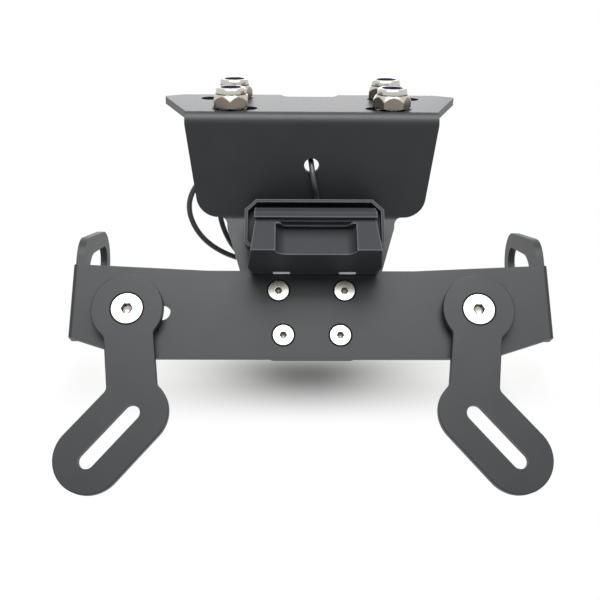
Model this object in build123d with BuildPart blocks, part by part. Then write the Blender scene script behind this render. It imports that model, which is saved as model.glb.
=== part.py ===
from build123d import *
from math import cos, pi, radians, sin, tan
import os

os.makedirs("parts", exist_ok=True)

# Sheet metal, in millimetres
sheet = 3.0
edge_round = 0.4
top_bend_inner = 1.5
top_bend_outer = top_bend_inner + sheet
fold_inner = 3.0
fold_outer = fold_inner + sheet
wing_corner_round = 1.8

# Top flange, which lies level under the tail; its bolt pattern is centred on the origin
bolt_x = 31.5
row_gap = 24.5
front_row = -row_gap / 2
back_row = row_gap / 2
panel_to_row = 11.1
panel_y = front_row - panel_to_row
flange_depth = 46.0
flange_back = panel_y + flange_depth
flange_root_half = 48.9
flange_flare = 12.6
flange_tip_half = flange_root_half + flange_flare
flange_corner_run = 5.0
flange_tip_y = flange_back - flange_corner_run
flange_corner_cut = 8.5
flange_back_half = flange_tip_half - flange_corner_cut
notch_width = 25.0
notch_depth = 5.0
notch_round = 2.0
bolt_slot_width = 8.6
front_slot_run = 8.0
front_slot_inward = 2.0
back_slot_run = 11.0
back_slot_outward = 4.2

# Upright panel
fold_z = -41.05
panel_top_half = flange_root_half
panel_taper = 4.5
panel_low_half = panel_top_half - panel_taper
ear_step = 11.2
ear_round = 0.75 * ear_step
ear_fillet = 0.25 * ear_step
cable_hole_d = 5.8
cable_hole_z = fold_z + 20.8

# Tongue and plate lean back from upright by this angle
lean = 40.0
lean_cos = cos(radians(lean))
lean_sin = sin(radians(lean))
fold_tangent = fold_inner * tan(radians(lean / 2))
tongue_top_half = panel_low_half - ear_step
tongue_taper = 16.0
tongue_end_half = tongue_top_half - tongue_taper
tongue_taper_y = -4.4
tongue_end_y = -58.2
tongue_round = 4.0

# Wide plate; heights are measured along the slope from the fold
plate_half = 92.0
plate_top_y = -23.86
plate_end_top_y = -21.3
plate_top_knee = 39.7
plate_bottom_y = -58.55
plate_end_bottom_y = -50.3
plate_bottom_run = 25.6
plate_bottom_knee = plate_half - plate_bottom_run
arm_slot_y = -40.6
arm_slot_width = 6.5
arm_slot_edge = 19.2
arm_slot_run = 15.8
arm_slot_outer = plate_half - arm_slot_edge
arm_slot_inner = arm_slot_outer - arm_slot_run
upper_screw_x = 12.7
upper_screw_y = -31.8
lower_screw_x = 10.8
lower_screw_y = -49.6

# Indicator loops at the plate's ends; depths are measured back from the plate's front face
loop_foot = 4.0
loop_near = (16.0, -16.6)
loop_near_r = 12.0
loop_big = (26.5, -19.1)
loop_big_hole_r = 12.0
loop_small = (39.9, -4.2)
loop_small_hole_r = 5.6
loop_band = 6.4

# Cranked arms
arm_thick = 3.0
arm_head_r = 13.6
arm_neck = 18.4
arm_reach = 39.2
arm_end_r = 12.8
arm_end_run = 22.5
arm_crank = 48.0
arm_turn = 6.7
arm_fillet = 3.0
number_slot_width = 6.0
number_slot_run = 22.8
number_slot_shift = 0.9
left_arm_slid = 3.3
left_arm_x = left_arm_slid - arm_slot_outer
right_arm_slid = 6.0
right_arm_x = arm_slot_inner + right_arm_slid

# Countersunk screws for the arms, size M6, with washers and nut
arm_screw_d = 6.0
arm_screw_head_d = 11.8
arm_screw_length = 16.0
arm_socket_af = 4.0
arm_socket_depth = 2.4
arm_hole_d = 6.4
spacer_od = 18.0
spacer_thick = 1.6
arm_washer_od = 12.0
arm_washer_thick = 1.6

# Countersunk screws through plate and tongue, size M4, with washers and nuts
centre_screw_d = 4.0
centre_screw_head_d = 7.9
centre_screw_length = 14.0
centre_socket_af = 2.5
centre_socket_depth = 1.6
centre_hole_d = 4.3
centre_washer_od = 9.0
centre_washer_thick = 0.8
countersink_gap = 0.15
socket_point_wide = 0.45
socket_point_deep = 0.26

# Bolts through the flange, size M8
flange_bolt_d = 8.0
flange_bolt_length = 10.0
flange_head_af = 13.0
flange_head_high = 5.3
bolt_tip_chamfer = 0.8

# Self-locking nuts: width across flats, height, hexagon height, collar and insert
m8_nut = (13.0, 8.2, 5.6, 11.7, 9.6)
m6_nut = (10.0, 6.0, 4.2, 9.0, 7.4)
m4_nut = (7.0, 5.0, 3.4, 6.3, 5.2)
nut_lip = 0.9

# Lamp on the tongue; heights along the slope from the fold, depths out from the tongue
lamp_cover_thick = 2.0
lamp_boss_half = 22.0
lamp_boss_low = -23.2
lamp_boss_high = -2.0
lamp_x = 1.1
lamp_base_back = 5.9
lamp_base_front = 11.0
lamp_base_half = 26.9
lamp_base_low = -17.0
lamp_base_high = 2.75
lamp_base_cut = 4.3
lamp_base_round = 3.0
lamp_rim = 1.2
lamp_groove = 4.2
lamp_groove_floor = lamp_base_front - lamp_groove
lamp_body_half = 22.6
lamp_low = -25.1
lamp_plate_gap = 0.4
lamp_lip_out = 28.2
lamp_lip_half = 23.8
lamp_land = 1.8
lamp_face_tilt = 15.4
lamp_block_high = -11.4
lamp_band_out = 26.3
lamp_band_high = -9.3
lamp_slope_high = -4.0
lamp_slope_out = 18.0
lamp_head_half = 25.6
lamp_head_widest = 10.0
lamp_head_back_half = 24.1
lamp_flare = 2.0
scoop_half = 14.8
scoop_floor = 4.5
scoop_round = 4.2
scoop_high = -13.5
scoop_riser = 1.77
scoop_steps = ((12.8, -12.3), (14.0, lamp_block_high))
cavity_half = 17.5
cavity_low = -20.5
cavity_high = -5.0
cavity_front = 10.5
window_x = 12.7
window_length = 6.4
window_depth = 1.8
window_back = sheet + lamp_plate_gap
window_proud = 0.2
board_thick = 1.6
led_size = 3.0
led_high = 1.4
lamp_screw_x = 19.5
lamp_screw_y = -12.6
lamp_screw_d = 4.0
lamp_screw_length = 10.0
lamp_screw_head_d = 7.6
lamp_screw_head_high = 2.4
lamp_socket_af = 2.5
lamp_washer_od = 9.0
lamp_washer_thick = 0.8
lamp_hole_d = 4.4

# Lead from the lamp, up through the panel's hole and round behind the panel
lead_d = 2.2
gland_d = 3.4
gland_length = 3.4
lead_x = lamp_x + 1.7
lead_depth = 3.75
lead_bend_y = 3.6
sleeve_d = 3.6
sleeve_length = 13.0
bullet_d = 1.5
bullet_length = 9.0
bullet_gap = 1.9

# Working planes
front_normal = (0, -1, 0)
slope_normal = (0, -lean_cos, lean_sin)
slope_up = (0, lean_sin, lean_cos)
panel_face = Plane(origin=(0, panel_y, 0), x_dir=(1, 0, 0), z_dir=front_normal)
tongue_face = Plane(origin=(0, panel_y, fold_z), x_dir=(1, 0, 0), z_dir=slope_normal)
plate_face = tongue_face.offset(sheet)
tongue_back = tongue_face.offset(-sheet)
arm_face = plate_face.offset(spacer_thick + arm_thick)
backwards = (0, lean_cos, -lean_sin)
lamp_points = [(lamp_x + side * lamp_screw_x, lamp_screw_y) for side in (-1, 1)]


def on_slope(x, y, out):
    """A point given across, up the slope from the fold, and out from the tongue."""
    return tongue_face.from_local_coords((x, y, out))


def slope_plane(x, y, out, facing):
    """A plane at a point of the slope whose normal is the facing direction."""
    return Plane(origin=on_slope(x, y, out), x_dir=(1, 0, 0), z_dir=facing)


# Self-locking nut, standing on its seat, and its insert
def locking_nut(sizes, bore):
    flats, high, hexagon, collar, insert = sizes
    with BuildPart() as nut:
        with BuildSketch(Plane.XY):
            RegularPolygon(flats / 2, 6, major_radius=False)
        extrude(amount=hexagon)
        with BuildSketch(Plane.XZ):
            with BuildLine():
                Polyline(
                    (0, 0), (flats * 0.475, 0), (flats * 0.62, flats * 0.084),
                    (flats * 0.62, hexagon - flats * 0.084), (flats * 0.475, hexagon), (0, hexagon),
                    close=True,
                )
            make_face()
        revolve(axis=Axis.Z, mode=Mode.INTERSECT)
        with BuildSketch(Plane.XY.offset(hexagon)):
            Circle(collar / 2)
        extrude(amount=high - hexagon)
        fillet(nut.edges().filter_by(GeomType.CIRCLE).group_by(Axis.Z)[-1], nut_lip)
        with BuildSketch(Plane.XY.offset(hexagon)):
            Circle(insert / 2)
        extrude(amount=high - hexagon, mode=Mode.SUBTRACT)
        with BuildSketch(Plane.XY):
            Circle(bore / 2)
        extrude(amount=hexagon, mode=Mode.SUBTRACT)
    return nut.part


def nut_insert(sizes, bore):
    flats, high, hexagon, collar, insert = sizes
    with BuildPart() as ring:
        with BuildSketch(Plane.XY.offset(hexagon)):
            Circle(insert / 2)
            Circle(bore / 2, mode=Mode.SUBTRACT)
        extrude(amount=high - hexagon - nut_lip / 3)
    return ring.part


# Countersunk socket screw, its head's face on the plane, its shank going down and its socket drilled to a point
def countersunk_screw(shank, head, length, socket_af, socket_depth):
    cone = (head - shank) / 2
    with BuildPart() as screw:
        with BuildSketch(Plane.XZ):
            with BuildLine():
                Polyline(
                    (0, 0), (head / 2, 0), (shank / 2, -cone), (shank / 2, shank / 8 - length),
                    (shank * 3 / 8, -length), (0, -length), close=True,
                )
            make_face()
        revolve(axis=Axis.Z)
        with BuildSketch(Plane.XY):
            RegularPolygon(socket_af / 2, 6, major_radius=False)
        extrude(amount=-socket_depth, mode=Mode.SUBTRACT)
        with BuildSketch(Plane.XZ):
            with BuildLine():
                Polyline(
                    (0, -socket_depth), (socket_af * socket_point_wide, -socket_depth),
                    (0, -socket_depth - socket_af * socket_point_deep), close=True,
                )
            make_face()
        revolve(axis=Axis.Z, mode=Mode.SUBTRACT)
    return screw.part


def plain_washer(outside, inside, thick):
    with BuildPart() as washer:
        with BuildSketch(Plane.XY):
            Circle(outside / 2)
            Circle(inside / 2, mode=Mode.SUBTRACT)
        extrude(amount=thick)
    return washer.part


# Main bracket: flange, upright panel and tongue folded from one sheet
with BuildPart() as main_bracket:
    with BuildSketch(Plane.XY) as flange_outline:
        with BuildLine():
            Polyline(
                (flange_root_half, panel_y + top_bend_outer),
                (flange_tip_half, flange_tip_y),
                (flange_back_half, flange_back),
                (notch_width / 2, flange_back),
                (notch_width / 2 - notch_depth / 2, flange_back - notch_depth),
                (0, flange_back - notch_depth),
                (0, panel_y + top_bend_outer),
                close=True,
            )
        make_face()
        mirror(about=Plane.YZ)
        fillet(flange_outline.vertices().group_by(Axis.Y)[-2], notch_round)
    extrude(amount=-sheet)
    with BuildSketch(Plane.YZ):
        with BuildLine():
            bend_middle = (panel_y + top_bend_outer, -top_bend_outer)
            outer = CenterArc(bend_middle, top_bend_outer, 90, 90)
            inner = CenterArc(bend_middle, top_bend_inner, 90, 90)
            Line(outer @ 0, inner @ 0)
            Line(outer @ 1, inner @ 1)
        make_face()
    extrude(amount=flange_root_half, both=True)
    with BuildSketch(panel_face):
        with Locations((0, (fold_z + fold_tangent - top_bend_outer) / 2)):
            Rectangle(2 * flange_root_half, -(fold_z + fold_tangent + top_bend_outer))
    extrude(amount=-sheet)
    with BuildSketch(Plane.YZ):
        with BuildLine():
            fold_middle = (panel_y - fold_inner, fold_z + fold_tangent)
            rear = CenterArc(fold_middle, fold_inner, -lean, lean)
            fore = CenterArc(fold_middle, fold_outer, -lean, lean)
            Line(rear @ 0, fore @ 0)
            Line(rear @ 1, fore @ 1)
        make_face()
    extrude(amount=flange_root_half, both=True)
    with BuildSketch(tongue_face) as tongue_outline:
        with BuildLine():
            Polyline(
                (flange_root_half, -fold_tangent),
                (flange_root_half, tongue_taper_y),
                (tongue_top_half, tongue_taper_y),
                (tongue_end_half, tongue_end_y),
                (0, tongue_end_y),
                (0, -fold_tangent),
                close=True,
            )
        make_face()
        mirror(about=Plane.YZ)
        fillet(tongue_outline.vertices().group_by(Axis.Y)[0], tongue_round)
    extrude(amount=-sheet)
    # Trim the panel's sides, its rounded ears and the step in to the tongue
    with BuildSketch(panel_face) as side_trim:
        with BuildLine():
            Polyline(
                (panel_top_half, -top_bend_outer),
                (panel_low_half, fold_z),
                (tongue_top_half, fold_z),
                (tongue_top_half, fold_z - 2 * ear_round),
                (flange_tip_half, fold_z - 2 * ear_round),
                (flange_tip_half, -top_bend_outer),
                close=True,
            )
        make_face()
        ear_corners = side_trim.vertices().filter_by_position(Axis.Y, fold_z - 0.01, fold_z + 0.01)
        fillet(ear_corners.sort_by(Axis.X)[-1], ear_round)
        inner_corner = side_trim.vertices().filter_by_position(Axis.X, tongue_top_half - 0.01, tongue_top_half + 0.01)
        fillet(inner_corner.sort_by(Axis.Y)[-1], ear_fillet)
        mirror(about=Plane.YZ)
    extrude(amount=flange_depth / 2, both=True, mode=Mode.SUBTRACT)
    # Slots for the bolts
    with BuildSketch(Plane.XY):
        for side in (-1, 1):
            with Locations((side * (bolt_x - front_slot_inward), front_row)):
                SlotCenterToCenter(front_slot_run, bolt_slot_width)
            with Locations((side * (bolt_x + back_slot_outward), back_row)):
                SlotCenterToCenter(back_slot_run, bolt_slot_width)
    extrude(amount=-sheet, mode=Mode.SUBTRACT)
    # Hole for the lead
    with BuildSketch(panel_face):
        with Locations((0, cable_hole_z)):
            Circle(cable_hole_d / 2)
    extrude(amount=-sheet, mode=Mode.SUBTRACT)
    # Screw holes in the tongue
    with BuildSketch(tongue_face):
        for side in (-1, 1):
            with Locations((side * upper_screw_x, upper_screw_y), (side * lower_screw_x, lower_screw_y)):
                Circle(centre_hole_d / 2)
        with Locations(*lamp_points):
            Circle(lamp_hole_d / 2)
    extrude(amount=-sheet, mode=Mode.SUBTRACT)
main_bracket.part.label = "main_bracket"
export_step(main_bracket.part, "parts/main_bracket.step")

# Plate bracket: the wide plate and the loops folded back from its ends
wing_face = Plane(origin=plate_face.from_local_coords((plate_half, 0, 0)), x_dir=backwards, z_dir=(1, 0, 0))
centre_points = [
    (side * x, y) for side in (-1, 1) for x, y in ((upper_screw_x, upper_screw_y), (lower_screw_x, lower_screw_y))
]
with BuildPart() as plate_bracket:
    with BuildSketch(plate_face):
        with BuildLine():
            Polyline(
                (0, plate_top_y),
                (plate_top_knee, plate_top_y),
                (plate_half, plate_end_top_y),
                (plate_half, plate_end_bottom_y),
                (plate_bottom_knee, plate_bottom_y),
                (0, plate_bottom_y),
                close=True,
            )
        make_face()
    extrude(amount=-sheet)
    with BuildSketch(wing_face) as loop_outline:
        with BuildLine():
            Polyline(
                (loop_foot, plate_end_bottom_y),
                (loop_foot, plate_end_top_y),
                (loop_foot + sheet, plate_end_top_y),
                (loop_foot + sheet, plate_end_bottom_y),
                close=True,
            )
        make_face()
        with Locations(loop_near):
            Circle(loop_near_r)
        with Locations(loop_big):
            Circle(loop_big_hole_r + loop_band)
        with Locations(loop_small):
            Circle(loop_small_hole_r + loop_band)
        make_hull()
        with Locations((loop_foot / 2, (plate_end_top_y + plate_end_bottom_y) / 2)):
            Rectangle(loop_foot, plate_end_top_y - plate_end_bottom_y)
    extrude(amount=-sheet)
    with BuildSketch(wing_face):
        with Locations(loop_big):
            Circle(loop_big_hole_r)
        with Locations(loop_small):
            Circle(loop_small_hole_r)
        make_hull()
    extrude(amount=-sheet, mode=Mode.SUBTRACT)
    end_edges = plate_bracket.edges().filter_by(Axis(plate_face.origin, slope_up)).group_by(Axis.X)[-1]
    fillet(end_edges.sort_by(Axis(plate_face.origin, slope_normal))[-1], wing_corner_round)
    mirror(about=Plane.YZ)
    with BuildSketch(plate_face):
        for side in (-1, 1):
            with Locations((side * (arm_slot_inner + arm_slot_outer) / 2, arm_slot_y)):
                SlotCenterToCenter(arm_slot_outer - arm_slot_inner, arm_slot_width)
        with Locations(*centre_points):
            Circle(centre_hole_d / 2)
    extrude(amount=-sheet, mode=Mode.SUBTRACT)
    with BuildSketch(plate_face):
        with Locations(*centre_points):
            Circle(centre_screw_head_d / 2 + countersink_gap)
    extrude(
        amount=-(centre_screw_head_d - centre_hole_d) / 2 - countersink_gap, taper=45, mode=Mode.SUBTRACT
    )
plate_bracket.part.label = "plate_bracket"
export_step(plate_bracket.part, "parts/plate_bracket.step")


# Cranked arm, drawn with its screw at the plane's origin and its neck straight down
def cranked_arm(face, side):
    elbow = (0, -arm_reach)
    end = (
        side * arm_end_run * sin(radians(arm_crank)),
        -arm_reach - arm_end_run * cos(radians(arm_crank)),
    )
    middle = (end[0] / 2, (elbow[1] + end[1]) / 2)
    slot_reach = arm_end_run / 2 + number_slot_shift
    slot_middle = (
        side * slot_reach * sin(radians(arm_crank)), -arm_reach - slot_reach * cos(radians(arm_crank)), 0
    )
    slot_turn = side * (arm_crank - 90)
    with BuildPart() as arm:
        with BuildSketch(face) as outline:
            Circle(arm_head_r)
            with Locations((0, -arm_reach / 2)):
                Rectangle(arm_neck, arm_reach)
            with Locations(Location((middle[0], middle[1], 0), (0, 0, slot_turn))):
                SlotCenterToCenter(arm_end_run, 2 * arm_end_r)
            for edge_x in (-arm_neck / 2, arm_neck / 2):
                neck_corners = outline.vertices().filter_by_position(Axis.X, edge_x - 0.01, edge_x + 0.01)
                fillet(neck_corners, arm_fillet)
        extrude(amount=-arm_thick)
        fillet(arm.faces().sort_by(Axis(face.origin, face.z_dir))[-1].edges(), edge_round)
        with BuildSketch(face):
            Circle(arm_hole_d / 2)
            with Locations(Location(slot_middle, (0, 0, slot_turn))):
                SlotCenterToCenter(number_slot_run, number_slot_width)
        extrude(amount=-arm_thick, mode=Mode.SUBTRACT)
        with BuildSketch(face):
            Circle(arm_screw_head_d / 2 + countersink_gap)
        extrude(
            amount=-(arm_screw_head_d - arm_hole_d) / 2 - countersink_gap, taper=45, mode=Mode.SUBTRACT
        )
    return arm.part


def arm_plane(x, side):
    """The plane of an arm's front face, turned about its screw."""
    return Plane(arm_face.location * Location((x, arm_slot_y, 0), (0, 0, -side * arm_turn)))


with BuildPart() as left_arm:
    add(cranked_arm(arm_plane(left_arm_x, -1), -1))
left_arm.part.label = "left_arm"
export_step(left_arm.part, "parts/left_arm.step")

with BuildPart() as right_arm:
    add(cranked_arm(arm_plane(right_arm_x, 1), 1))
right_arm.part.label = "right_arm"
export_step(right_arm.part, "parts/right_arm.step")

# Arm fasteners, in order from the front: screw, spacer, plate, back washer, nut
arm_screw = countersunk_screw(
    arm_screw_d, arm_screw_head_d, arm_screw_length, arm_socket_af, arm_socket_depth
)
arm_spacer = plain_washer(spacer_od, arm_hole_d, spacer_thick)
arm_washer = plain_washer(arm_washer_od, arm_hole_d, arm_washer_thick)
arm_nut = locking_nut(m6_nut, arm_screw_d)
arm_insert = nut_insert(m6_nut, arm_screw_d)
arm_front = sheet + spacer_thick + arm_thick


def behind_plate(x, gap):
    """A plane facing back, a gap behind the plate's rear face on an arm screw's line."""
    return slope_plane(x, arm_slot_y, -gap, backwards)


for side_name, screw_x in (("left", left_arm_x), ("right", right_arm_x)):
    with BuildPart() as screw_node:
        with Locations(slope_plane(screw_x, arm_slot_y, arm_front, slope_normal)):
            add(arm_screw)
    screw_node.part.label = side_name + "_arm_screw"
    export_step(screw_node.part, "parts/" + side_name + "_arm_screw.step")

    with BuildPart() as spacer_node:
        with Locations(slope_plane(screw_x, arm_slot_y, sheet, slope_normal)):
            add(arm_spacer)
    spacer_node.part.label = side_name + "_arm_spacer"
    export_step(spacer_node.part, "parts/" + side_name + "_arm_spacer.step")

    with BuildPart() as washer_node:
        with Locations(behind_plate(screw_x, 0)):
            add(arm_washer)
    washer_node.part.label = side_name + "_arm_washer"
    export_step(washer_node.part, "parts/" + side_name + "_arm_washer.step")

    with BuildPart() as nut_node:
        with Locations(behind_plate(screw_x, arm_washer_thick)):
            add(arm_nut)
    nut_node.part.label = side_name + "_arm_nut"
    export_step(nut_node.part, "parts/" + side_name + "_arm_nut.step")

    with BuildPart() as insert_node:
        with Locations(behind_plate(screw_x, arm_washer_thick)):
            add(arm_insert)
    insert_node.part.label = side_name + "_arm_nut_insert"
    export_step(insert_node.part, "parts/" + side_name + "_arm_nut_insert.step")

# Screws through plate and tongue, with washers, nuts and inserts behind the tongue
centre_screw = countersunk_screw(
    centre_screw_d, centre_screw_head_d, centre_screw_length, centre_socket_af, centre_socket_depth
)
with BuildPart() as centre_screws:
    with Locations(*[slope_plane(x, y, sheet, slope_normal) for x, y in centre_points]):
        add(centre_screw)
centre_screws.part.label = "centre_screws"
export_step(centre_screws.part, "parts/centre_screws.step")

with BuildPart() as centre_washers:
    with Locations(*[slope_plane(x, y, -sheet, backwards) for x, y in centre_points]):
        add(plain_washer(centre_washer_od, centre_hole_d, centre_washer_thick))
centre_washers.part.label = "centre_washers"
export_step(centre_washers.part, "parts/centre_washers.step")

with BuildPart() as centre_nuts:
    with Locations(*[slope_plane(x, y, -sheet - centre_washer_thick, backwards) for x, y in centre_points]):
        add(locking_nut(m4_nut, centre_screw_d))
centre_nuts.part.label = "centre_nuts"
export_step(centre_nuts.part, "parts/centre_nuts.step")

with BuildPart() as centre_nut_inserts:
    with Locations(*[slope_plane(x, y, -sheet - centre_washer_thick, backwards) for x, y in centre_points]):
        add(nut_insert(m4_nut, centre_screw_d))
centre_nut_inserts.part.label = "centre_nut_inserts"
export_step(centre_nut_inserts.part, "parts/centre_nut_inserts.step")

# Bolts up through the flange, with nuts on top
bolt_points = [(side * bolt_x, row) for side in (-1, 1) for row in (front_row, back_row)]
with BuildPart() as flange_bolts:
    with BuildSketch(Plane.XY.offset(-sheet)):
        with Locations(*bolt_points):
            RegularPolygon(flange_head_af / 2, 6, major_radius=False)
    extrude(amount=-flange_head_high)
    with BuildSketch(Plane.XY.offset(-sheet)):
        with Locations(*bolt_points):
            Circle(flange_bolt_d / 2)
    extrude(amount=flange_bolt_length)
    chamfer(flange_bolts.edges().group_by(Axis.Z)[-1], bolt_tip_chamfer)
flange_bolts.part.label = "flange_bolts"
export_step(flange_bolts.part, "parts/flange_bolts.step")

# Two nuts show a corner to the rear and two a flat
nut_turns = {(-bolt_x, front_row): 30, (-bolt_x, back_row): 12, (bolt_x, front_row): 0, (bolt_x, back_row): 18}
nut_places = [Location((x, y, 0), (0, 0, turn)) for (x, y), turn in nut_turns.items()]
with BuildPart() as flange_nuts:
    with Locations(*nut_places):
        add(locking_nut(m8_nut, flange_bolt_d))
flange_nuts.part.label = "flange_nuts"
export_step(flange_nuts.part, "parts/flange_nuts.step")

with BuildPart() as flange_nut_inserts:
    with Locations(*nut_places):
        add(nut_insert(m8_nut, flange_bolt_d))
flange_nut_inserts.part.label = "flange_nut_inserts"
export_step(flange_nut_inserts.part, "parts/flange_nut_inserts.step")

# Lamp housing: rimmed base, sloped face with two raised blocks and a stepped scoop between them
lamp_seat = Plane(origin=on_slope(lamp_x, 0, 0), x_dir=(1, 0, 0), z_dir=slope_normal)
lamp_side = Plane(origin=lamp_seat.origin, x_dir=slope_normal, z_dir=(-1, 0, 0))
lamp_across = Plane(origin=on_slope(lamp_x, lamp_low, 0), x_dir=(1, 0, 0), z_dir=slope_up)
front_gap = sheet + lamp_plate_gap
face_low = lamp_low + lamp_land
block_out = lamp_lip_out - (lamp_block_high - face_low) * tan(radians(lamp_face_tilt))
scoop_out = lamp_lip_out - scoop_floor
scoop_deep = scoop_out - (scoop_high - face_low) * tan(radians(lamp_face_tilt))


def scoop_floor_edge(edge):
    """Whether an edge runs along a side of the scoop's floor."""
    place = lamp_seat.to_local_coords(edge.center())
    return abs(place.X) > scoop_half - edge_round and place.Z < lamp_lip_out


# Cutter for the scoop, with rounded floor corners and a stepped upper end
with BuildPart() as scoop:
    with BuildSketch(lamp_side):
        with BuildLine():
            Polyline(
                (scoop_out, lamp_low - lamp_land),
                (scoop_out, face_low),
                (scoop_deep, scoop_high),
                (2 * lamp_lip_out, scoop_high),
                (2 * lamp_lip_out, lamp_low - lamp_land),
                close=True,
            )
        make_face()
    extrude(amount=scoop_half, both=True)
    fillet(scoop.edges().filter_by(scoop_floor_edge), scoop_round)
    for step, (half, high) in enumerate(scoop_steps):
        tread_out = lamp_band_out - (len(scoop_steps) - step) * scoop_riser
        with BuildSketch(lamp_across.offset(scoop_high - scoop_riser - lamp_low)) as step_outline:
            with Locations((0, -tread_out - lamp_lip_out / 2)):
                Rectangle(2 * half, lamp_lip_out)
            fillet(step_outline.vertices().group_by(Axis.Y)[-1], scoop_round / 2)
        extrude(amount=high - scoop_high + scoop_riser)

with BuildPart() as lamp_housing:
    with BuildSketch(lamp_seat.offset(lamp_base_back)) as base_outline:
        with Locations((0, (lamp_base_low + lamp_base_high) / 2)):
            Rectangle(2 * lamp_base_half, lamp_base_high - lamp_base_low)
        chamfer(base_outline.vertices().group_by(Axis.Y)[-1], lamp_base_cut)
        fillet(base_outline.vertices().group_by(Axis.Y)[0], lamp_base_round)
    extrude(amount=lamp_base_front - lamp_base_back)
    with BuildSketch(lamp_seat.offset(lamp_base_front)):
        add(base_outline.sketch_local)
        offset(amount=-lamp_rim, mode=Mode.REPLACE)
    extrude(amount=-lamp_groove, mode=Mode.SUBTRACT)
    # Upper body with its band, and the boss that reaches back to the cover
    with BuildSketch(lamp_side):
        with BuildLine():
            Polyline(
                (lamp_cover_thick, lamp_boss_low),
                (lamp_groove_floor, lamp_boss_low),
                (lamp_groove_floor, lamp_block_high),
                (lamp_band_out, lamp_block_high),
                (lamp_band_out, lamp_band_high),
                (lamp_slope_out, lamp_slope_high),
                (lamp_groove_floor, lamp_slope_high),
                (lamp_groove_floor, lamp_boss_high),
                (lamp_cover_thick, lamp_boss_high),
                close=True,
            )
        make_face()
    extrude(amount=lamp_body_half, both=True)
    # Lower head, flaring down to the lip
    for high, inset in ((lamp_low, 0), (lamp_block_high, lamp_flare)):
        with BuildSketch(lamp_across.offset(high - lamp_low)):
            with BuildLine():
                Polyline(
                    (inset - lamp_lip_half, -lamp_lip_out),
                    (lamp_lip_half - inset, -lamp_lip_out),
                    (lamp_head_half - inset, -lamp_head_widest),
                    (lamp_head_back_half - inset, -front_gap),
                    (inset - lamp_head_back_half, -front_gap),
                    (inset - lamp_head_half, -lamp_head_widest),
                    close=True,
                )
            make_face()
    loft(ruled=True)
    # Trim the blocks to their sloped face, which ends in a flat land along the lip
    with BuildSketch(lamp_side):
        with BuildLine():
            Polyline(
                (lamp_lip_out, face_low),
                (block_out, lamp_block_high),
                (2 * lamp_lip_out, lamp_block_high),
                (2 * lamp_lip_out, face_low),
                close=True,
            )
        make_face()
    extrude(amount=2 * lamp_head_half, both=True, mode=Mode.SUBTRACT)
    add(scoop.part, mode=Mode.SUBTRACT)
    # Hollow for the circuit board, windows out of the underside, tapped holes and the lead's way out
    with BuildSketch(lamp_seat.offset(lamp_cover_thick)):
        with Locations((0, (cavity_low + cavity_high) / 2)):
            Rectangle(2 * cavity_half, cavity_high - cavity_low)
    extrude(amount=cavity_front - lamp_cover_thick, mode=Mode.SUBTRACT)
    with BuildSketch(lamp_across):
        with Locations(*[(side * window_x, -window_back - window_depth / 2) for side in (-1, 1)]):
            Rectangle(window_length, window_depth)
    extrude(amount=cavity_low - lamp_low, mode=Mode.SUBTRACT)
    with BuildSketch(lamp_seat.offset(lamp_cover_thick)):
        with Locations((-lamp_screw_x, lamp_screw_y), (lamp_screw_x, lamp_screw_y)):
            Circle(lamp_screw_d / 2)
    extrude(amount=lamp_screw_length - sheet, mode=Mode.SUBTRACT)
    with BuildSketch(slope_plane(lead_x, lamp_boss_high, lead_depth, slope_up)):
        Circle(gland_d / 2)
    extrude(amount=cavity_high - lamp_boss_high, mode=Mode.SUBTRACT)
lamp_housing.part.label = "lamp_housing"
export_step(lamp_housing.part, "parts/lamp_housing.step")

with BuildPart() as lamp_cover:
    with BuildSketch(lamp_seat):
        with Locations((0, (lamp_boss_low + lamp_boss_high) / 2)):
            Rectangle(2 * lamp_boss_half, lamp_boss_high - lamp_boss_low)
        with Locations((-lamp_screw_x, lamp_screw_y), (lamp_screw_x, lamp_screw_y)):
            Circle(lamp_hole_d / 2, mode=Mode.SUBTRACT)
    extrude(amount=lamp_cover_thick)
lamp_cover.part.label = "lamp_cover"
export_step(lamp_cover.part, "parts/lamp_cover.step")

with BuildPart() as lamp_windows:
    with BuildSketch(lamp_across.offset(-window_proud)):
        with Locations(*[(side * window_x, -window_back - window_depth / 2) for side in (-1, 1)]):
            Rectangle(window_length, window_depth)
    extrude(amount=cavity_low - lamp_low + window_proud)
lamp_windows.part.label = "lamp_windows"
export_step(lamp_windows.part, "parts/lamp_windows.step")

board_y = cavity_low + led_high
with BuildPart() as lamp_board:
    with BuildSketch(lamp_across.offset(board_y - lamp_low)):
        with Locations((0, -(lamp_cover_thick + cavity_front) / 2)):
            Rectangle(2 * cavity_half, cavity_front - lamp_cover_thick)
    extrude(amount=board_thick)
lamp_board.part.label = "lamp_board"
export_step(lamp_board.part, "parts/lamp_board.step")

with BuildPart() as lamp_leds:
    with BuildSketch(lamp_across.offset(cavity_low - lamp_low)):
        with Locations(*[(side * window_x, -window_back - window_depth / 2) for side in (-1, 1)]):
            Rectangle(led_size, led_size)
    extrude(amount=led_high)
lamp_leds.part.label = "lamp_leds"
export_step(lamp_leds.part, "parts/lamp_leds.step")

# Screws from behind the tongue hold the cover and the housing on
with BuildPart() as lamp_washers:
    with Locations(*[slope_plane(x, y, -sheet, backwards) for x, y in lamp_points]):
        add(plain_washer(lamp_washer_od, lamp_hole_d, lamp_washer_thick))
lamp_washers.part.label = "lamp_washers"
export_step(lamp_washers.part, "parts/lamp_washers.step")

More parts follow.
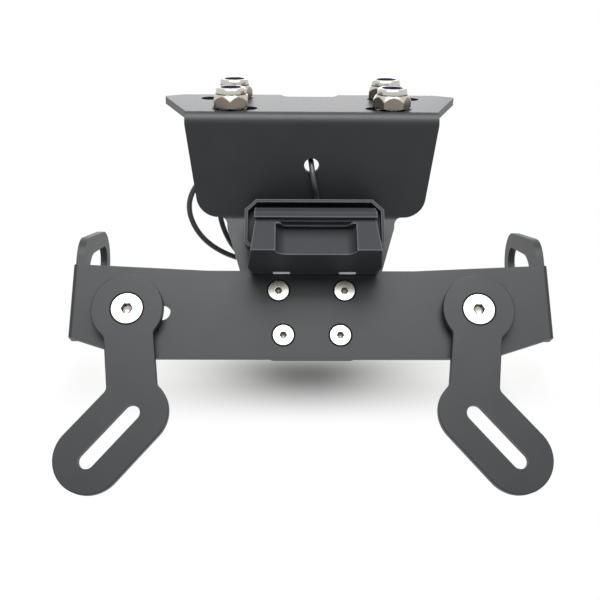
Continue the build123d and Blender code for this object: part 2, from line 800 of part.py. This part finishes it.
lamp_head_seat = tongue_back.offset(-lamp_washer_thick)
with BuildPart() as lamp_screws:
    with BuildSketch(lamp_head_seat):
        with Locations(*lamp_points):
            Circle(lamp_screw_head_d / 2)
    extrude(amount=-lamp_screw_head_high)
    with BuildSketch(lamp_head_seat):
        with Locations(*lamp_points):
            Circle(lamp_screw_d / 2)
    extrude(amount=lamp_screw_length)
    with BuildSketch(lamp_head_seat.offset(-lamp_screw_head_high)):
        with Locations(*lamp_points):
            RegularPolygon(lamp_socket_af / 2, 6, major_radius=False)
    extrude(amount=lamp_screw_head_high / 2, mode=Mode.SUBTRACT)
lamp_screws.part.label = "lamp_screws"
export_step(lamp_screws.part, "parts/lamp_screws.step")

# Strain relief where the lead leaves the lamp
with BuildPart() as lead_gland:
    with BuildSketch(slope_plane(lead_x, cavity_high, lead_depth, slope_up)):
        Circle(gland_d / 2)
        Circle(lead_d / 2, mode=Mode.SUBTRACT)
    extrude(amount=gland_length)
lead_gland.part.label = "lead_gland"
export_step(lead_gland.part, "parts/lead_gland.step")

# Lead: up the panel, through the hole and round in coils behind the panel; offsets are from the panel
lead_offsets = [
    (0.6, -3.7, cable_hole_z - 4.4),
    (-0.7, 7.6, cable_hole_z + 5.1),
    (-12.0, 12.5, -14.0),
    (-28.5, 12.0, -18.5),
    (-43.0, 11.0, -26.0),
    (-51.0, 10.5, -38.5),
    (-46.0, 10.5, -53.0),
    (-32.0, 11.0, -62.5),
    (-15.5, 12.0, -64.0),
    (-0.5, 13.0, -57.5),
    (7.5, 13.5, -44.0),
    (2.0, 14.0, -30.5),
    (-11.0, 14.5, -25.0),
    (-27.5, 15.0, -28.5),
    (-38.5, 15.5, -40.0),
    (-35.5, 16.5, -54.5),
    (-27.0, 17.5, -66.5),
    (-13.5, 18.2, -72.5),
    (1.5, 18.7, -71.0),
    (12.0, 19.0, -61.0),
    (13.5, 19.0, -47.0),
    (6.0, 19.0, -36.0),
    (-6.0, 19.2, -33.0),
    (-16.5, 19.6, -40.0),
    (-20.0, 20.0, -52.5),
    (-20.3, 20.3, -65.5),
    (-19.0, 20.3, -77.0),
]
lead_points = [on_slope(lead_x, cavity_high, lead_depth), on_slope(lead_x, lead_bend_y, lead_depth)]
lead_points += [(x, panel_y + back, z) for x, back, z in lead_offsets]


def bend_radii(points):
    """Radii that leave a tenth of every run straight."""
    places = [Vector(point) for point in points]
    radii = []
    for before, here, after in zip(places, places[1:], places[2:]):
        run_in = here - before
        run_out = after - here
        half_turn = radians(run_in.get_angle(run_out)) / 2
        radii.append(0.45 * min(run_in.length, run_out.length) / tan(half_turn))
    return radii


lead_radii = bend_radii(lead_points)
print("lead radii", [round(radius, 1) for radius in lead_radii])
with BuildPart() as lamp_lead:
    with BuildLine() as lead_route:
        FilletPolyline(*lead_points, radius=lead_radii)
    lead_wire = lead_route.wires()[0]
    with BuildSketch(Plane(origin=lead_wire @ 0, z_dir=lead_wire % 0)):
        Circle(lead_d / 2)
    sweep(path=lead_wire)
lamp_lead.part.label = "lamp_lead"
export_step(lamp_lead.part, "parts/lamp_lead.step")
print("lead length", round(lead_wire.length, 1), "volume", round(lamp_lead.part.volume, 1))
print("section times length", round(pi * lead_d**2 / 4 * lead_wire.length, 1))

# Sleeve and bullet terminals on the lead's free end
lead_end = Plane(origin=lead_wire @ 1, z_dir=lead_wire % 1)
with BuildPart() as lead_sleeve:
    with BuildSketch(lead_end):
        Circle(sleeve_d / 2)
    extrude(amount=sleeve_length)
lead_sleeve.part.label = "lead_sleeve"
export_step(lead_sleeve.part, "parts/lead_sleeve.step")

with BuildPart() as lead_bullets:
    with BuildSketch(lead_end.offset(sleeve_length)):
        with Locations((-bullet_gap / 2, 0), (bullet_gap / 2, 0)):
            Circle(bullet_d / 2)
    extrude(amount=bullet_length)
    fillet(lead_bullets.edges().group_by(Axis.Z)[0], bullet_d / 3)
lead_bullets.part.label = "lead_bullets"
export_step(lead_bullets.part, "parts/lead_bullets.step")
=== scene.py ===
# %% [markdown]
# Tail tidy
# A tail tidy is the bracket that carries a motorbike's number plate once the
# bulky mudguard is gone. Two folded steel sheets, two cranked arms, a small
# lamp and a handful of screws make up the whole thing. The solids come from
# the CAD frame, already in place and at real size, so this lesson is about
# the camera, the lead, the finishes, soft edges, the nuts and the light.

from math import cos, pi, radians, sin

import bmesh
import bpy
from mathutils import Matrix, Vector


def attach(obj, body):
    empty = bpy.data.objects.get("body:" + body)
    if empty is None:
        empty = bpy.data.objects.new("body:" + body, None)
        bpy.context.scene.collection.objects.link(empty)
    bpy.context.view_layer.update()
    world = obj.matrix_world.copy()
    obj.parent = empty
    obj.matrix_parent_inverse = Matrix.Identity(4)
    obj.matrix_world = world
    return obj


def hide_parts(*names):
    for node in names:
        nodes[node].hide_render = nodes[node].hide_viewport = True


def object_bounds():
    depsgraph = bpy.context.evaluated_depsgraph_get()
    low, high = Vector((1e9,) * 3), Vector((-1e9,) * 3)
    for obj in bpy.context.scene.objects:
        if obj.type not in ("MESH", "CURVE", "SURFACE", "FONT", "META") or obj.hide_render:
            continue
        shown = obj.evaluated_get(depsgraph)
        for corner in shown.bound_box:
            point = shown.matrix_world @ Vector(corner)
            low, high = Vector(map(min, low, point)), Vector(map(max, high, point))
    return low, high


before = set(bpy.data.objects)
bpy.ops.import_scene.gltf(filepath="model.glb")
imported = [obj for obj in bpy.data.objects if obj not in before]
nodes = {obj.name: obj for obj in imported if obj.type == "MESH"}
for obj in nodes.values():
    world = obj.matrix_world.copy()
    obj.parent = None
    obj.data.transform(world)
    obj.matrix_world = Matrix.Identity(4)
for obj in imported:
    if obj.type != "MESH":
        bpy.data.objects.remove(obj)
cad_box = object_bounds()
MM = 0.001


def in_scene(name, data):
    """Makes an object from its data and links it to the scene."""
    made = bpy.data.objects.new(name, data)
    bpy.context.scene.collection.objects.link(made)
    return made


print("pieces from CAD:", len(nodes))

# %% [markdown]
# Camera
# The flange lies level, so the photograph's view is given by how far the
# camera looks down on it, how far it is turned and how far it leans. The
# values below come from lining up bolt holes and screw heads. A lens of
# about 52 mm on a 36 mm sensor gives the same strong perspective.

# %% Camera
CAMERA_PLACE = Vector((-9.32, -355.18, 56.90)) * MM
LOOK_TURN = radians(0.907)
LOOK_DOWN = radians(21.918)
LEAN = radians(0.489)
LENS = 51.84
SENSOR_WIDE = 36
NEAREST_SEEN = 10.0

ahead = Vector((sin(LOOK_TURN) * cos(LOOK_DOWN), cos(LOOK_TURN) * cos(LOOK_DOWN), -sin(LOOK_DOWN)))
right = ahead.cross(Vector((0, 0, 1))).normalized()
up = right.cross(ahead)
right, up = right * cos(LEAN) + up * sin(LEAN), up * cos(LEAN) - right * sin(LEAN)

camera_data = bpy.data.cameras.new("camera")
camera_data.lens = LENS
camera_data.sensor_width = SENSOR_WIDE
camera_data.clip_start = NEAREST_SEEN * MM
camera = in_scene("camera", camera_data)
facing = Matrix((right, up, -ahead)).transposed().to_4x4()
camera.matrix_world = Matrix.Translation(CAMERA_PLACE) @ facing
bpy.context.scene.camera = camera
print("camera at", [round(v, 3) for v in camera.location])

# %% [markdown]
# Lead
# The lamp's lead is thin black PVC flex. It comes out of the lamp's back,
# climbs the panel, goes through the hole and hangs in coils behind the
# bracket. A real lead has no corners, so it is a smooth NURBS curve of order
# three along the same route that the CAD tube follows.

# %% Lead
SLOPE = radians(40)
PANEL_Y = -23.35
FOLD_Z = -41.05
HOLE_Z = FOLD_Z + 20.8
LEAD_WIDE = 2.2
LEAD_X = 2.8
LEAD_OUT = 3.75
LEAD_START = -5.0
LEAD_LEAVES = 3.6


def on_slope(x, y, out):
    """A place across, up the slope from the fold and out from the tongue, in millimetres."""
    return (
        x,
        PANEL_Y + y * sin(SLOPE) - out * cos(SLOPE),
        FOLD_Z + y * cos(SLOPE) + out * sin(SLOPE),
    )


# Each point gives its place across, its distance back from the panel and its height
lead_offsets = [
    (0.6, -3.7, HOLE_Z - 4.4),
    (-0.7, 7.6, HOLE_Z + 5.1),
    (-12.0, 12.5, -14.0),
    (-28.5, 12.0, -18.5),
    (-43.0, 11.0, -26.0),
    (-51.0, 10.5, -38.5),
    (-46.0, 10.5, -53.0),
    (-32.0, 11.0, -62.5),
    (-15.5, 12.0, -64.0),
    (-0.5, 13.0, -57.5),
    (7.5, 13.5, -44.0),
    (2.0, 14.0, -30.5),
    (-11.0, 14.5, -25.0),
    (-27.5, 15.0, -28.5),
    (-38.5, 15.5, -40.0),
    (-35.5, 16.5, -54.5),
    (-27.0, 17.5, -66.5),
    (-13.5, 18.2, -72.5),
    (1.5, 18.7, -71.0),
    (12.0, 19.0, -61.0),
    (13.5, 19.0, -47.0),
    (6.0, 19.0, -36.0),
    (-6.0, 19.2, -33.0),
    (-16.5, 19.6, -40.0),
    (-20.0, 20.0, -52.5),
    (-20.3, 20.3, -65.5),
    (-19.0, 20.3, -77.0),
]
lead_route = [on_slope(LEAD_X, y, LEAD_OUT) for y in (LEAD_START, LEAD_LEAVES)]
lead_route += [(x, PANEL_Y + back, z) for x, back, z in lead_offsets]
lead_curve = bpy.data.curves.new("lead", "CURVE")
lead_curve.dimensions = "3D"
lead_curve.bevel_resolution = 5
lead_curve.resolution_u = 10
# A depth of one makes each point's radius the lead's own
lead_curve.bevel_depth = 1.0
strand = lead_curve.splines.new("NURBS")
strand.points.add(len(lead_route) - 1)
for point, place in zip(strand.points, lead_route):
    point.co = (*[v * MM for v in place], 1)
    point.radius = LEAD_WIDE / 2 * MM
strand.order_u = 3
strand.use_endpoint_u = True
lead = in_scene("lead", lead_curve)
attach(lead, "bracket")
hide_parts("lamp_lead")
print("lead follows", len(lead_route), "points")

# %% [markdown]
# Helpers for nodes
# Colours are written as the hex values a screen shows. Blender mixes light in
# linear values, so one function converts them. A second small function adds a
# node, sets its values and links its inputs. The short ones after it name the
# few nodes that every finish uses, so that a finish reads like a recipe.

# %% Colour and node helpers


def linear(hex_colour):
    """Linear RGBA of a screen colour such as #1c1c1d."""
    channels = [int(hex_colour[i:i + 2], 16) / 255 for i in (1, 3, 5)]
    return [c / 12.92 if c <= 0.04045 else ((c + 0.055) / 1.055) ** 2.4 for c in channels] + [1.0]


def node(tree, kind, settings=None, inputs=None):
    """Adds a node; an input is a value, or another node's output socket."""
    made = tree.nodes.new(kind)
    for name, value in (settings or {}).items():
        setattr(made, name, value)
    for name, value in (inputs or {}).items():
        if isinstance(value, bpy.types.NodeSocket):
            tree.links.new(value, made.inputs[name])
        else:
            made.inputs[name].default_value = value
    return made


def calculate(tree, operation, *values):
    """The result of one operation, such as SUBTRACT, on values or sockets."""
    return node(tree, "ShaderNodeMath", {"operation": operation}, dict(enumerate(values))).outputs[0]


def spread(tree, value, low, high, to_low=0.0, to_high=1.0):
    """A value between two limits, spread over a new range."""
    return node(tree, "ShaderNodeMapRange", None, {
        "Value": value, "From Min": low, "From Max": high, "To Min": to_low, "To Max": to_high,
    }).outputs["Result"]


def blend(tree, share, first, second, kind="RGBA"):
    """A mix that goes from the first colour or value to the second as the share grows."""
    return node(tree, "ShaderNodeMix", {"data_type": kind}, {
        "Factor": share, "A": first, "B": second}).outputs["Result"]


def noise(tree, place, size_mm, detail, roughness=0.5):
    """Noise with a grain of real size."""
    return node(tree, "ShaderNodeTexNoise", None, {
        "Vector": place, "Scale": 1 / (size_mm * MM), "Detail": detail, "Roughness": roughness,
    }).outputs["Fac"]


print("helpers ready")

# %% [markdown]
# Helpers for finishes
# No surface is one even colour. Each finish drifts between a dark and a light
# shade, and its gloss varies over a fine grain. Shade is painted into corners
# and a highlight along edges: ambient occlusion finds both, looking out from
# the surface for corners and back into the piece for edges. A corner with
# painted shade is also made dull, because a black coat shows mostly by its
# sheen.

# %% Finishes
RECESS_SHADE_REACH = 1.5
EDGE_HIGHLIGHT_REACH = 0.6
SHADED = 0.45
OPEN = 0.95
GAP_SHADE_HALF = 0.2
DRIFT_GRAINS = 18
FAR_AWAY = 1.0


def nearest_ring(tree, place, rings):
    """How far a place lies from the closest ring, each given by its centre and radius in millimetres."""
    nearest = FAR_AWAY
    for centre, radius in rings:
        away = node(tree, "ShaderNodeVectorMath", {"operation": "DISTANCE"}, {
            0: place, 1: [v * MM for v in centre]}).outputs["Value"]
        off = calculate(tree, "SUBTRACT", away, radius * MM)
        nearest = calculate(tree, "MINIMUM", calculate(tree, "ABSOLUTE", off), nearest)
    return nearest


def openness(tree, reach_mm, inside):
    """Low in a corner or, looking into the piece, low at an edge."""
    return node(tree, "ShaderNodeAmbientOcclusion", {"inside": inside, "only_local": inside}, {
        "Distance": reach_mm * MM}).outputs["AO"]


def finish(
        name, dark, light, grain_mm, rough, recess_shade=None, edge=None, rings=(), bump=0.0, bump_mm=0.05,
        **sockets):
    """A surface whose colour and gloss drift over a real-size grain, with painted shade in corners and
    painted highlights on edges.
    """
    material = bpy.data.materials.new(name)
    material.use_nodes = True
    tree = material.node_tree
    shader = tree.nodes["Principled BSDF"]
    place = node(tree, "ShaderNodeTexCoord").outputs["Object"]
    grain = noise(tree, place, grain_mm, 3.0, 0.6)
    drift = noise(tree, place, DRIFT_GRAINS * grain_mm, 2.0)
    colour = blend(tree, drift, linear(dark), linear(light))
    rough_level = spread(tree, grain, 0.0, 1.0, *rough)
    masks = []
    # Painted shade: a thin dark ring where the gap around each screw head lies in shade.
    if rings:
        masks.append((recess_shade, nearest_ring(tree, place, rings), GAP_SHADE_HALF * MM, 2 * GAP_SHADE_HALF * MM))
    # Painted shade: corners and hollows are darkened by ambient occlusion.
    if recess_shade:
        masks.append((recess_shade, openness(tree, RECESS_SHADE_REACH, False), SHADED, OPEN))
    # Painted highlight: edges are drawn paler.
    if edge:
        masks.append((edge, openness(tree, EDGE_HIGHLIGHT_REACH, True), SHADED, OPEN))
    for tint, value, low, high in masks:
        plain = spread(tree, value, low, high)
        colour = blend(tree, plain, linear(tint), colour)
        # Painted shade is also made dull, which darkens its sheen too.
        if tint == recess_shade:
            rough_level = blend(tree, plain, 1.0, rough_level, "FLOAT")
    tree.links.new(colour, shader.inputs["Base Color"])
    tree.links.new(rough_level, shader.inputs["Roughness"])
    for socket, value in sockets.items():
        shader.inputs[socket.replace("_", " ")].default_value = value
    if bump:
        relief = node(tree, "ShaderNodeBump", None, {
            "Height": grain, "Strength": bump, "Distance": bump_mm * MM})
        tree.links.new(relief.outputs["Normal"], shader.inputs["Normal"])
    return material


def wear(material, *names):
    """Puts a finish on CAD pieces."""
    for name in names:
        nodes[name].data.materials.clear()
        nodes[name].data.materials.append(material)
    print(material.name, "on", len(names), "CAD pieces")


# %% [markdown]
# Powder-coated steel
# The sheets and arms are steel, sprayed with black powder and baked. The
# powder melts into a skin with a fine pebble that breaks up reflections, so
# it looks charcoal where light grazes it and nearly black elsewhere. The real
# pebble is about a third of a millimetre; it is drawn twice as coarse so that
# it shows at this size. Each screw's head sits in a countersink, and the shade
# in the thin gap between them is painted as a dark ring around the head.

# %% Powder-coated steel
PLATE_FACE = 3.0
ARM_FACE = 7.6
CENTRE_RING = 4.25
ARM_RING = 6.2
CENTRE_SCREWS = ((12.7, -31.8), (10.8, -49.6))
ARM_SCREWS = ((-69.5, -40.6), (63.0, -40.6))

screw_shade_rings = [
    (on_slope(side * x, y, PLATE_FACE), CENTRE_RING) for x, y in CENTRE_SCREWS for side in (-1, 1)
]
screw_shade_rings += [(on_slope(x, y, ARM_FACE), ARM_RING) for x, y in ARM_SCREWS]
# Painted shade darkens the coat's corners and bends and rings each screw head.
powder_coat = finish(
    "powder_coated_steel", "#1d1f22", "#26292c", 0.7, (0.38, 0.48), recess_shade="#0b0c0d", rings=screw_shade_rings,
    bump=0.2, bump_mm=0.03, Specular_IOR_Level=0.32,
)
wear(
    powder_coat, "main_bracket", "plate_bracket", "left_arm", "right_arm",
    "left_arm_spacer", "right_arm_spacer",
)

# %% [markdown]
# Bright metal
# Screws and washers are stainless steel, turned and tumbled, and the nuts and
# bolts are plated steel, a shade darker and browner. Both are true metals, so
# all their look is reflection; a little roughness keeps the highlights soft.
# The sockets and other hollows are darkened with painted shade.

# %% Bright metal
# Painted shade darkens the sockets and hollows of the bright metal.
stainless = finish(
    "stainless_steel", "#bdb9b2", "#cdc9c2", 0.5, (0.16, 0.3), recess_shade="#14110f", Metallic=1.0,
)
wear(
    stainless, "centre_screws", "centre_washers", "left_arm_screw", "right_arm_screw",
    "left_arm_washer", "right_arm_washer", "lamp_screws", "lamp_washers",
)
plated = finish(
    "plated_steel", "#6c645b", "#91887e", 0.8, (0.2, 0.34), recess_shade="#14110f", Metallic=1.0,
)
wear(plated, "flange_bolts", "flange_nuts", "centre_nuts", "left_arm_nut", "right_arm_nut")

# %% [markdown]
# Nylon
# A locking nut holds a ring of nylon that grips the thread. This one is dyed
# dark blue and has a soft, waxy gloss.

# %% Nylon
nylon = finish("blue_nylon", "#1a2244", "#262f55", 0.6, (0.35, 0.5))
wear(
    nylon, "flange_nut_inserts", "centre_nut_inserts", "left_arm_nut_insert", "right_arm_nut_insert",
)

# %% [markdown]
# Black anodised aluminium
# The lamp's body is milled from aluminium and dyed black in an acid bath. The
# dyed skin is thin and satin, without the powder coat's pebble. Along its edges
# a highlight is painted a shade paler, so they read as clear lines.

# %% Anodised aluminium
# Painted highlight: the lamp's edges are tinted paler.
anodised = finish(
    "black_anodised_aluminium", "#282a2d", "#303235", 0.5, (0.5, 0.6), edge="#606265",
    bump=0.1, bump_mm=0.02, Specular_IOR_Level=0.12,
)
wear(anodised, "lamp_housing", "lamp_cover")

# %% [markdown]
# Lamp inside and lead
# Clear plastic closes the two light windows. Behind it sit a green circuit
# board and two resin chips. The lead, its strain relief and its sleeve are
# black PVC, and its terminals are tinned brass.

# %% Small finishes
window = finish("clear_plastic", "#eef1f3", "#f8fafb", 0.5, (0.1, 0.2), Transmission_Weight=0.15)
wear(window, "lamp_windows")
board = finish("circuit_board", "#17502a", "#1f6335", 0.4, (0.4, 0.55))
wear(board, "lamp_board")
resin = finish("clear_resin", "#e8dfb0", "#f2ebc4", 0.4, (0.2, 0.3))
wear(resin, "lamp_leds")
pvc = finish("black_pvc", "#2e3033", "#383a3d", 0.6, (0.3, 0.42), bump=0.1, bump_mm=0.02)
wear(pvc, "lead_gland", "lead_sleeve")
lead_curve.materials.append(pvc)
tinned = finish("tinned_brass", "#b8b2a2", "#c9c4b4", 0.4, (0.25, 0.35), Metallic=1.0)
wear(tinned, "lead_bullets")
print("finishes in all:", len(bpy.data.materials))

# %% [markdown]
# Soft edges
# No real edge is perfectly sharp: a punched sheet has a small burr that the
# coating rounds over, and a milled edge is broken with a file. Each CAD piece
# keeps its mesh; a short stack of modifiers joins its triangles, merges flat
# ones and rounds the sharp edges. A small node group then shades smooth over
# shallow edges, and weighting the normals by area keeps flat faces flat.

# %% Soft edges
SMOOTH_BELOW = radians(30)
ROUND_ABOVE = radians(32)
FLAT_WITHIN = radians(0.4)
JOIN_WITHIN = 0.002


def shallow_edges():
    """A modifier group that shades smooth except across steep edges."""
    group = bpy.data.node_groups.new("smooth_shallow_edges", "GeometryNodeTree")
    group.interface.new_socket("Geometry", in_out="INPUT", socket_type="NodeSocketGeometry")
    group.interface.new_socket("Geometry", in_out="OUTPUT", socket_type="NodeSocketGeometry")
    mesh = node(group, "NodeGroupInput").outputs["Geometry"]
    angle = node(group, "GeometryNodeInputMeshEdgeAngle").outputs["Unsigned Angle"]
    shallow = node(group, "FunctionNodeCompare", {"operation": "LESS_THAN"}, {"A": angle, "B": SMOOTH_BELOW})
    faces = node(group, "GeometryNodeSetShadeSmooth", {"domain": "FACE"}, {0: mesh, "Shade Smooth": True})
    edges = node(group, "GeometryNodeSetShadeSmooth", {"domain": "EDGE"}, {
        0: faces.outputs[0], "Shade Smooth": shallow.outputs["Result"]})
    node(group, "NodeGroupOutput", None, {0: edges.outputs[0]})
    return group


smooth = shallow_edges()


def soften(width_mm, *names):
    """Rounds a piece's sharp edges by a real width."""
    for name in names:
        piece = nodes[name]
        join = piece.modifiers.new("join", "WELD")
        join.merge_threshold = JOIN_WITHIN * MM
        flatten = piece.modifiers.new("flatten", "DECIMATE")
        flatten.decimate_type = "DISSOLVE"
        flatten.angle_limit = FLAT_WITHIN
        edge = piece.modifiers.new("edge", "BEVEL")
        edge.width = width_mm * MM
        edge.segments = 2
        edge.limit_method = "ANGLE"
        edge.angle_limit = ROUND_ABOVE
        edge.use_clamp_overlap = True
        piece.modifiers.new("shade", "NODES").node_group = smooth
        piece.modifiers.new("weigh", "WEIGHTED_NORMAL").keep_sharp = True


soften(0.35, "main_bracket", "plate_bracket")
soften(0.2, "lamp_housing")
soften(0.12, "left_arm_screw", "right_arm_screw", "centre_screws")
soften(0.18, "flange_bolts")
print("softened pieces:", sum(1 for piece in nodes.values() if piece.modifiers))

# %% [markdown]
# Locking nuts
# A locking nut starts as a hexagon bar. The lathe chamfers both ends, which
# leaves arched flats, and rolls a thin collar over the nylon ring. So each nut
# is one lathe profile, and in the hexagon's stretch every point that would
# stand outside the flats is pulled in to them. The flats keep the bar's dull
# skin, while the turned surfaces are bright.

# %% Profile of a locking nut
NUT_FLATS = 13.0
NUT_HIGH = 8.2
NUT_CORNER = 7.6
HEXAGON_HIGH = 5.6
CHAMFER_START = 6.2
SEAT_CHAMFER = 1.0
TOP_CHAMFER = 2.2
COLLAR_HALF = 5.85
COLLAR_ROUND = 1.2
COLLAR_NECK = 0.25
NECK_LOW = HEXAGON_HIGH + 0.1
NECK_TOP = HEXAGON_HIGH + 0.35
MOUTH_HALF = 4.35
MOUTH_TOP = NUT_HIGH - 0.05
MOUTH_LOW = NUT_HIGH - 0.25
RING_HALF = 4.85
RING_TOP = NUT_HIGH - 0.27
BORE_HALF = 4.05


def even_steps(first, last, count):
    """Points at even steps along a straight line, both ends included."""
    return [tuple(a + (b - a) * step / count for a, b in zip(first, last)) for step in range(count + 1)]


def quarter_round(reach, height, radius, count):
    """Points around a rounded outer corner, from its side to its top."""
    turns = [pi / 2 * step / count for step in range(count + 1)]
    return [(reach - radius + radius * cos(turn), height - radius + radius * sin(turn)) for turn in turns]


hexagon_profile = even_steps((CHAMFER_START, 0), (NUT_CORNER, SEAT_CHAMFER), 4)
hexagon_profile += even_steps((NUT_CORNER, HEXAGON_HIGH - TOP_CHAMFER), (CHAMFER_START, HEXAGON_HIGH), 8)
collar_profile = [(COLLAR_HALF - COLLAR_NECK, NECK_LOW), (COLLAR_HALF, NECK_TOP)]
collar_profile += quarter_round(COLLAR_HALF, NUT_HIGH, COLLAR_ROUND, 6)
collar_profile += [(MOUTH_HALF, MOUTH_TOP), (MOUTH_HALF, MOUTH_LOW), (RING_HALF, RING_TOP)]
collar_profile += [(RING_HALF, HEXAGON_HIGH), (BORE_HALF, HEXAGON_HIGH), (BORE_HALF, 0)]
print("nut profile points:", len(hexagon_profile) + len(collar_profile))

# %% [markdown]
# Nuts on the flange
# Four nuts stand on the flange, each turned to its own angle as a spanner left
# it. The profile is swept around in small steps, and faces whose corners all
# lie on a flat get the dull finish. All four are one piece, because the CAD
# nuts they stand in for are one node.

# %% Nuts on the flange
BOLT_X = 31.5
ROW_Y = 12.25
NUT_TURNS = {(-BOLT_X, -ROW_Y): 30, (-BOLT_X, ROW_Y): 12, (BOLT_X, -ROW_Y): 0, (BOLT_X, ROW_Y): 18}
NUT_STEPS = 120
DULL_SLOT = 0
BRIGHT_SLOT = 1


def nut_ring(shape, middle, turn, reach, height, hexagonal):
    """One ring of corners around a nut, each with whether it lies on a flat."""
    ring = []
    for step in range(NUT_STEPS):
        angle = 2 * pi * step / NUT_STEPS
        flat = NUT_FLATS / 2 / cos(angle % (pi / 3) - pi / 6)
        on_flat = hexagonal and flat <= reach
        radius = flat if on_flat else reach
        aim = angle + radians(turn)
        spot = Vector((middle[0] + radius * cos(aim), middle[1] + radius * sin(aim), height))
        ring.append((shape.verts.new(spot * MM), on_flat))
    return ring


def add_nut(shape, middle, turn):
    """Sweeps the profile around and closes it with faces."""
    rings = [nut_ring(shape, middle, turn, reach, height, True) for reach, height in hexagon_profile]
    rings += [nut_ring(shape, middle, turn, reach, height, False) for reach, height in collar_profile]
    for low, high in zip(rings, rings[1:] + rings[:1]):
        for step in range(NUT_STEPS):
            corners = [low[step - 1], low[step], high[step], high[step - 1]]
            face = shape.faces.new([vertex for vertex, on_flat in corners])
            dull = all(on_flat for vertex, on_flat in corners)
            face.material_index = DULL_SLOT if dull else BRIGHT_SLOT


nut_shape = bmesh.new()
for nut_middle, nut_turn in NUT_TURNS.items():
    add_nut(nut_shape, nut_middle, nut_turn)
bmesh.ops.recalc_face_normals(nut_shape, faces=nut_shape.faces)
nut_mesh = bpy.data.meshes.new("locking_nuts")
nut_shape.to_mesh(nut_mesh)
nut_shape.free()
nut_mesh.materials.append(plated)
nut_mesh.materials.append(stainless)
nuts = in_scene("locking_nuts", nut_mesh)
nuts.modifiers.new("shade", "NODES").node_group = smooth
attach(nuts, "bracket")
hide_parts("flange_nuts")
print("locking nuts:", len(NUT_TURNS), "with", len(nut_mesh.polygons), "faces")

# %% [markdown]
# Floor
# The bracket is shown just above a plain white floor. In a long patch under
# the object the floor is matt paper and shows the shadow. Further out it fades
# to an even white for the camera, for reflections and through clear plastic.
# For all other rays it stays matt paper, which only returns the lamps' light.

# %% Floor
FLOOR_GAP = 0.3
FLOOR_WIDE = 8
PATCH_SQUEEZE = (0.3, 1.0, 1.0)
FADE_END = 50.0
WHITE = (1, 1, 1, 1)


def seen_rays(tree):
    """One for rays from the camera, a reflection or clear plastic, and zero for the rest."""
    rays = node(tree, "ShaderNodeLightPath").outputs
    mirrored = calculate(tree, "MAXIMUM", rays["Is Camera Ray"], rays["Is Glossy Ray"])
    return calculate(tree, "MAXIMUM", mirrored, rays["Is Transmission Ray"])


def white_paper():
    """Matt paper near the middle that fades to plain white."""
    material = bpy.data.materials.new("white_paper")
    material.use_nodes = True
    tree = material.node_tree
    tree.nodes.clear()
    place = node(tree, "ShaderNodeTexCoord").outputs["Object"]
    patch = node(tree, "ShaderNodeVectorMath", {"operation": "MULTIPLY"}, {0: place, 1: PATCH_SQUEEZE})
    far = node(tree, "ShaderNodeVectorMath", {"operation": "LENGTH"}, {0: patch.outputs[0]})
    fade = node(tree, "ShaderNodeMapRange", {"interpolation_type": "SMOOTHSTEP"}, {
        "Value": far.outputs["Value"], "From Min": 0.0, "From Max": FADE_END * MM})
    share = calculate(tree, "MULTIPLY", seen_rays(tree), fade.outputs["Result"])
    matt = node(tree, "ShaderNodeBsdfDiffuse", None, {"Color": linear("#dcdcda")})
    white = node(tree, "ShaderNodeEmission", None, {"Color": WHITE, "Strength": 1.0})
    mixed = node(tree, "ShaderNodeMixShader", None, {0: share, 1: matt.outputs[0], 2: white.outputs[0]})
    node(tree, "ShaderNodeOutputMaterial", None, {"Surface": mixed.outputs[0]})
    return material


floor_low = cad_box[0].z - FLOOR_GAP * MM
bpy.ops.mesh.primitive_plane_add(size=FLOOR_WIDE, location=(0, 0, floor_low))
floor = bpy.context.object
floor.name = "floor"
floor.data.materials.append(white_paper())
print("floor at", round(floor_low / MM, 1), "mm")

# %% [markdown]
# Light
# A broad lamp overhead lights the plate and the arms, and a weaker one on the
# camera's side fills in their shadows. A low lamp behind skims the level
# flange, which is why the flange looks pale and the upright panel stays dark.
# The sky adds a little even light, and looks white where it is seen.

# %% Light
SKY_LIGHT = 0.22


def studio_sky():
    """An even sky, dim as a light and white where it is seen."""
    world = bpy.data.worlds.new("studio")
    world.use_nodes = True
    tree = world.node_tree
    tree.nodes.clear()
    level = spread(tree, seen_rays(tree), 0.0, 1.0, SKY_LIGHT, 1.0)
    sky = node(tree, "ShaderNodeBackground", None, {"Color": WHITE, "Strength": level})
    node(tree, "ShaderNodeOutputWorld", None, {"Surface": sky.outputs[0]})
    return world


def lamp(name, place, target, wide, deep, watts):
    """A soft lamp, wide and deep in metres, that faces a target."""
    data = bpy.data.lights.new(name, "AREA")
    data.shape = "RECTANGLE"
    data.size = wide
    data.size_y = deep
    data.energy = watts
    made = in_scene(name, data)
    made.location = place
    made.rotation_euler = (Vector(target) - Vector(place)).to_track_quat("-Z", "Y").to_euler()


bpy.context.scene.world = studio_sky()
object_middle = (cad_box[0] + cad_box[1]) / 2
lamp("overhead", (0, -0.20, 0.98), object_middle, 0.8, 0.7, 16.0)
lamp("front", (0, -0.64, 0.85), object_middle, 1.3, 0.4, 5.0)
lamp("back", (0, 0.9, 0.18), object_middle, 0.5, 0.5, 1.8)
bpy.context.scene.view_settings.view_transform = "Standard"
